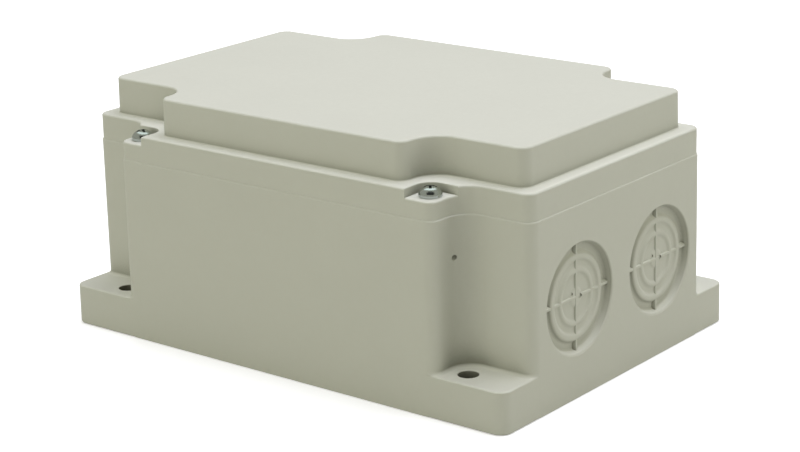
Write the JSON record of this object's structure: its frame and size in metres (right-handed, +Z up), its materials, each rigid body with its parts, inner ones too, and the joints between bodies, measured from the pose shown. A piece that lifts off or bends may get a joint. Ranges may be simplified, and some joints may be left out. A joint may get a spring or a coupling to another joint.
{
  "type": "electrical junction box",
  "caption": "Wall-mounted junction box with corner feet, a screwed stepped lid, multi-size round knockouts in both end walls, and rail-mounted screw terminals inside.",
  "frame": {"origin": "centre of the footprint on the mounting surface", "axes": "+X along the box's length, -Y the front, +Z up away from the mounting surface"},
  "size_m": [0.2, 0.14, 0.0918],
  "materials": {
    "base_plastic": "fine satin moulded, warm light grey",
    "lid_plastic": "fine satin moulded, warm light grey",
    "gasket_foam": "foamed cord",
    "seal_rubber": "smooth",
    "nylon": "natural nylon",
    "screw_steel": "bright zinc plate",
    "zinc_steel": "zinc-plated sheet",
    "brass": "turned",
    "copper": "tinned copper alloy",
    "terminal_grey": "moulded polyamide",
    "earth_green": "moulded polyamide, green with a yellow band"
  },
  "bodies": {
    "base": {"base_shell": "base_plastic", "thread_inserts": "brass", "din_rail": "zinc_steel", "rail_screws": "screw_steel", "rail_washers": "screw_steel", "end_stop_left": "terminal_grey", "end_stop_right": "terminal_grey", "end_cover": "terminal_grey", "earth_foot": "zinc_steel", "feed_1_housing": "terminal_grey", "feed_1_bar": "copper", "feed_2_housing": "terminal_grey", "feed_2_bar": "copper", "feed_3_housing": "terminal_grey", "feed_3_bar": "copper", "earth_housing": "earth_green", "earth_bar": "copper"},
    "lid": {"lid_shell": "lid_plastic", "lid_gasket": "gasket_foam"},
    "captive_front_left": {"screw_seal_front_left": "seal_rubber", "screw_retainer_front_left": "nylon"},
    "screw_front_left": {"lid_screw_front_left": "screw_steel"},
    "captive_front_right": {"screw_seal_front_right": "seal_rubber", "screw_retainer_front_right": "nylon"},
    "screw_front_right": {"lid_screw_front_right": "screw_steel"},
    "captive_back_left": {"screw_seal_back_left": "seal_rubber", "screw_retainer_back_left": "nylon"},
    "screw_back_left": {"lid_screw_back_left": "screw_steel"},
    "captive_back_right": {"screw_seal_back_right": "seal_rubber", "screw_retainer_back_right": "nylon"},
    "screw_back_right": {"lid_screw_back_right": "screw_steel"},
    "feed_1_cage_front": {"feed_1_cage_front": "zinc_steel"},
    "feed_1_screw_front": {"feed_1_screw_front": "screw_steel"},
    "feed_1_cage_back": {"feed_1_cage_back": "zinc_steel"},
    "feed_1_screw_back": {"feed_1_screw_back": "screw_steel"},
    "feed_2_cage_front": {"feed_2_cage_front": "zinc_steel"},
    "feed_2_screw_front": {"feed_2_screw_front": "screw_steel"},
    "feed_2_cage_back": {"feed_2_cage_back": "zinc_steel"},
    "feed_2_screw_back": {"feed_2_screw_back": "screw_steel"},
    "feed_3_cage_front": {"feed_3_cage_front": "zinc_steel"},
    "feed_3_screw_front": {"feed_3_screw_front": "screw_steel"},
    "feed_3_cage_back": {"feed_3_cage_back": "zinc_steel"},
    "feed_3_screw_back": {"feed_3_screw_back": "screw_steel"},
    "earth_cage_front": {"earth_cage_front": "zinc_steel"},
    "earth_screw_front": {"earth_screw_front": "screw_steel"},
    "earth_cage_back": {"earth_cage_back": "zinc_steel"},
    "earth_screw_back": {"earth_screw_back": "screw_steel"}
  },
  "joints": [
    {"name": "lid_lift", "type": "slide", "parent": "base", "child": "lid", "axis": [0, 0, 1], "range_m": [0, 0.12]},
    {"name": "screw_rise_front_left", "type": "slide", "parent": "lid", "child": "captive_front_left", "axis": [0, 0, 1], "range_m": [0, 0.00595]},
    {"name": "screw_turn_front_left", "type": "hinge", "parent": "captive_front_left", "child": "screw_front_left", "pos_m": [-0.066, -0.0626, 0.075], "axis": [0, 0, 1], "range_deg": [0, 3070]},
    {"name": "screw_rise_front_right", "type": "slide", "parent": "lid", "child": "captive_front_right", "axis": [0, 0, 1], "range_m": [0, 0.00595]},
    {"name": "screw_turn_front_right", "type": "hinge", "parent": "captive_front_right", "child": "screw_front_right", "pos_m": [0.066, -0.0626, 0.075], "axis": [0, 0, 1], "range_deg": [0, 3070]},
    {"name": "screw_rise_back_left", "type": "slide", "parent": "lid", "child": "captive_back_left", "axis": [0, 0, 1], "range_m": [0, 0.00595]},
    {"name": "screw_turn_back_left", "type": "hinge", "parent": "captive_back_left", "child": "screw_back_left", "pos_m": [-0.066, 0.0626, 0.075], "axis": [0, 0, 1], "range_deg": [0, 3070]},
    {"name": "screw_rise_back_right", "type": "slide", "parent": "lid", "child": "captive_back_right", "axis": [0, 0, 1], "range_m": [0, 0.00595]},
    {"name": "screw_turn_back_right", "type": "hinge", "parent": "captive_back_right", "child": "screw_back_right", "pos_m": [0.066, 0.0626, 0.075], "axis": [0, 0, 1], "range_deg": [0, 3070]},
    {"name": "feed_1_turn_front", "type": "hinge", "parent": "base", "child": "feed_1_screw_front", "pos_m": [-0.01235, -0.013, 0.041], "axis": [0, 0, -1], "range_deg": [0, 2890]},
    {"name": "feed_1_clamp_front", "type": "slide", "parent": "base", "child": "feed_1_cage_front", "axis": [0, 0, 1], "range_m": [0, 0.004]},
    {"name": "feed_1_turn_back", "type": "hinge", "parent": "base", "child": "feed_1_screw_back", "pos_m": [-0.01235, 0.013, 0.041], "axis": [0, 0, -1], "range_deg": [0, 2890]},
    {"name": "feed_1_clamp_back", "type": "slide", "parent": "base", "child": "feed_1_cage_back", "axis": [0, 0, 1], "range_m": [0, 0.004]},
    {"name": "feed_2_turn_front", "type": "hinge", "parent": "base", "child": "feed_2_screw_front", "pos_m": [-0.00425, -0.013, 0.041], "axis": [0, 0, -1], "range_deg": [0, 2890]},
    {"name": "feed_2_clamp_front", "type": "slide", "parent": "base", "child": "feed_2_cage_front", "axis": [0, 0, 1], "range_m": [0, 0.004]},
    {"name": "feed_2_turn_back", "type": "hinge", "parent": "base", "child": "feed_2_screw_back", "pos_m": [-0.00425, 0.013, 0.041], "axis": [0, 0, -1], "range_deg": [0, 2890]},
    {"name": "feed_2_clamp_back", "type": "slide", "parent": "base", "child": "feed_2_cage_back", "axis": [0, 0, 1], "range_m": [0, 0.004]},
    {"name": "feed_3_turn_front", "type": "hinge", "parent": "base", "child": "feed_3_screw_front", "pos_m": [0.00385, -0.013, 0.041], "axis": [0, 0, -1], "range_deg": [0, 2890]},
    {"name": "feed_3_clamp_front", "type": "slide", "parent": "base", "child": "feed_3_cage_front", "axis": [0, 0, 1], "range_m": [0, 0.004]},
    {"name": "feed_3_turn_back", "type": "hinge", "parent": "base", "child": "feed_3_screw_back", "pos_m": [0.00385, 0.013, 0.041], "axis": [0, 0, -1], "range_deg": [0, 2890]},
    {"name": "feed_3_clamp_back", "type": "slide", "parent": "base", "child": "feed_3_cage_back", "axis": [0, 0, 1], "range_m": [0, 0.004]},
    {"name": "earth_turn_front", "type": "hinge", "parent": "base", "child": "earth_screw_front", "pos_m": [0.01195, -0.013, 0.041], "axis": [0, 0, -1], "range_deg": [0, 2890]},
    {"name": "earth_clamp_front", "type": "slide", "parent": "base", "child": "earth_cage_front", "axis": [0, 0, 1], "range_m": [0, 0.004]},
    {"name": "earth_turn_back", "type": "hinge", "parent": "base", "child": "earth_screw_back", "pos_m": [0.01195, 0.013, 0.041], "axis": [0, 0, -1], "range_deg": [0, 2890]},
    {"name": "earth_clamp_back", "type": "slide", "parent": "base", "child": "earth_cage_back", "axis": [0, 0, 1], "range_m": [0, 0.004]}
  ],
  "couplings": [
    {"joint": "screw_turn_front_left", "follows": "screw_rise_front_left", "rad_per_m": 8976},
    {"joint": "screw_turn_front_right", "follows": "screw_rise_front_right", "rad_per_m": 8976},
    {"joint": "screw_turn_back_left", "follows": "screw_rise_back_left", "rad_per_m": 8976},
    {"joint": "screw_turn_back_right", "follows": "screw_rise_back_right", "rad_per_m": 8976},
    {"joint": "feed_1_turn_front", "follows": "feed_1_clamp_front", "rad_per_m": 12566},
    {"joint": "feed_1_turn_back", "follows": "feed_1_clamp_back", "rad_per_m": 12566},
    {"joint": "feed_2_turn_front", "follows": "feed_2_clamp_front", "rad_per_m": 12566},
    {"joint": "feed_2_turn_back", "follows": "feed_2_clamp_back", "rad_per_m": 12566},
    {"joint": "feed_3_turn_front", "follows": "feed_3_clamp_front", "rad_per_m": 12566},
    {"joint": "feed_3_turn_back", "follows": "feed_3_clamp_back", "rad_per_m": 12566},
    {"joint": "earth_turn_front", "follows": "earth_clamp_front", "rad_per_m": 12566},
    {"joint": "earth_turn_back", "follows": "earth_clamp_back", "rad_per_m": 12566}
  ]
}
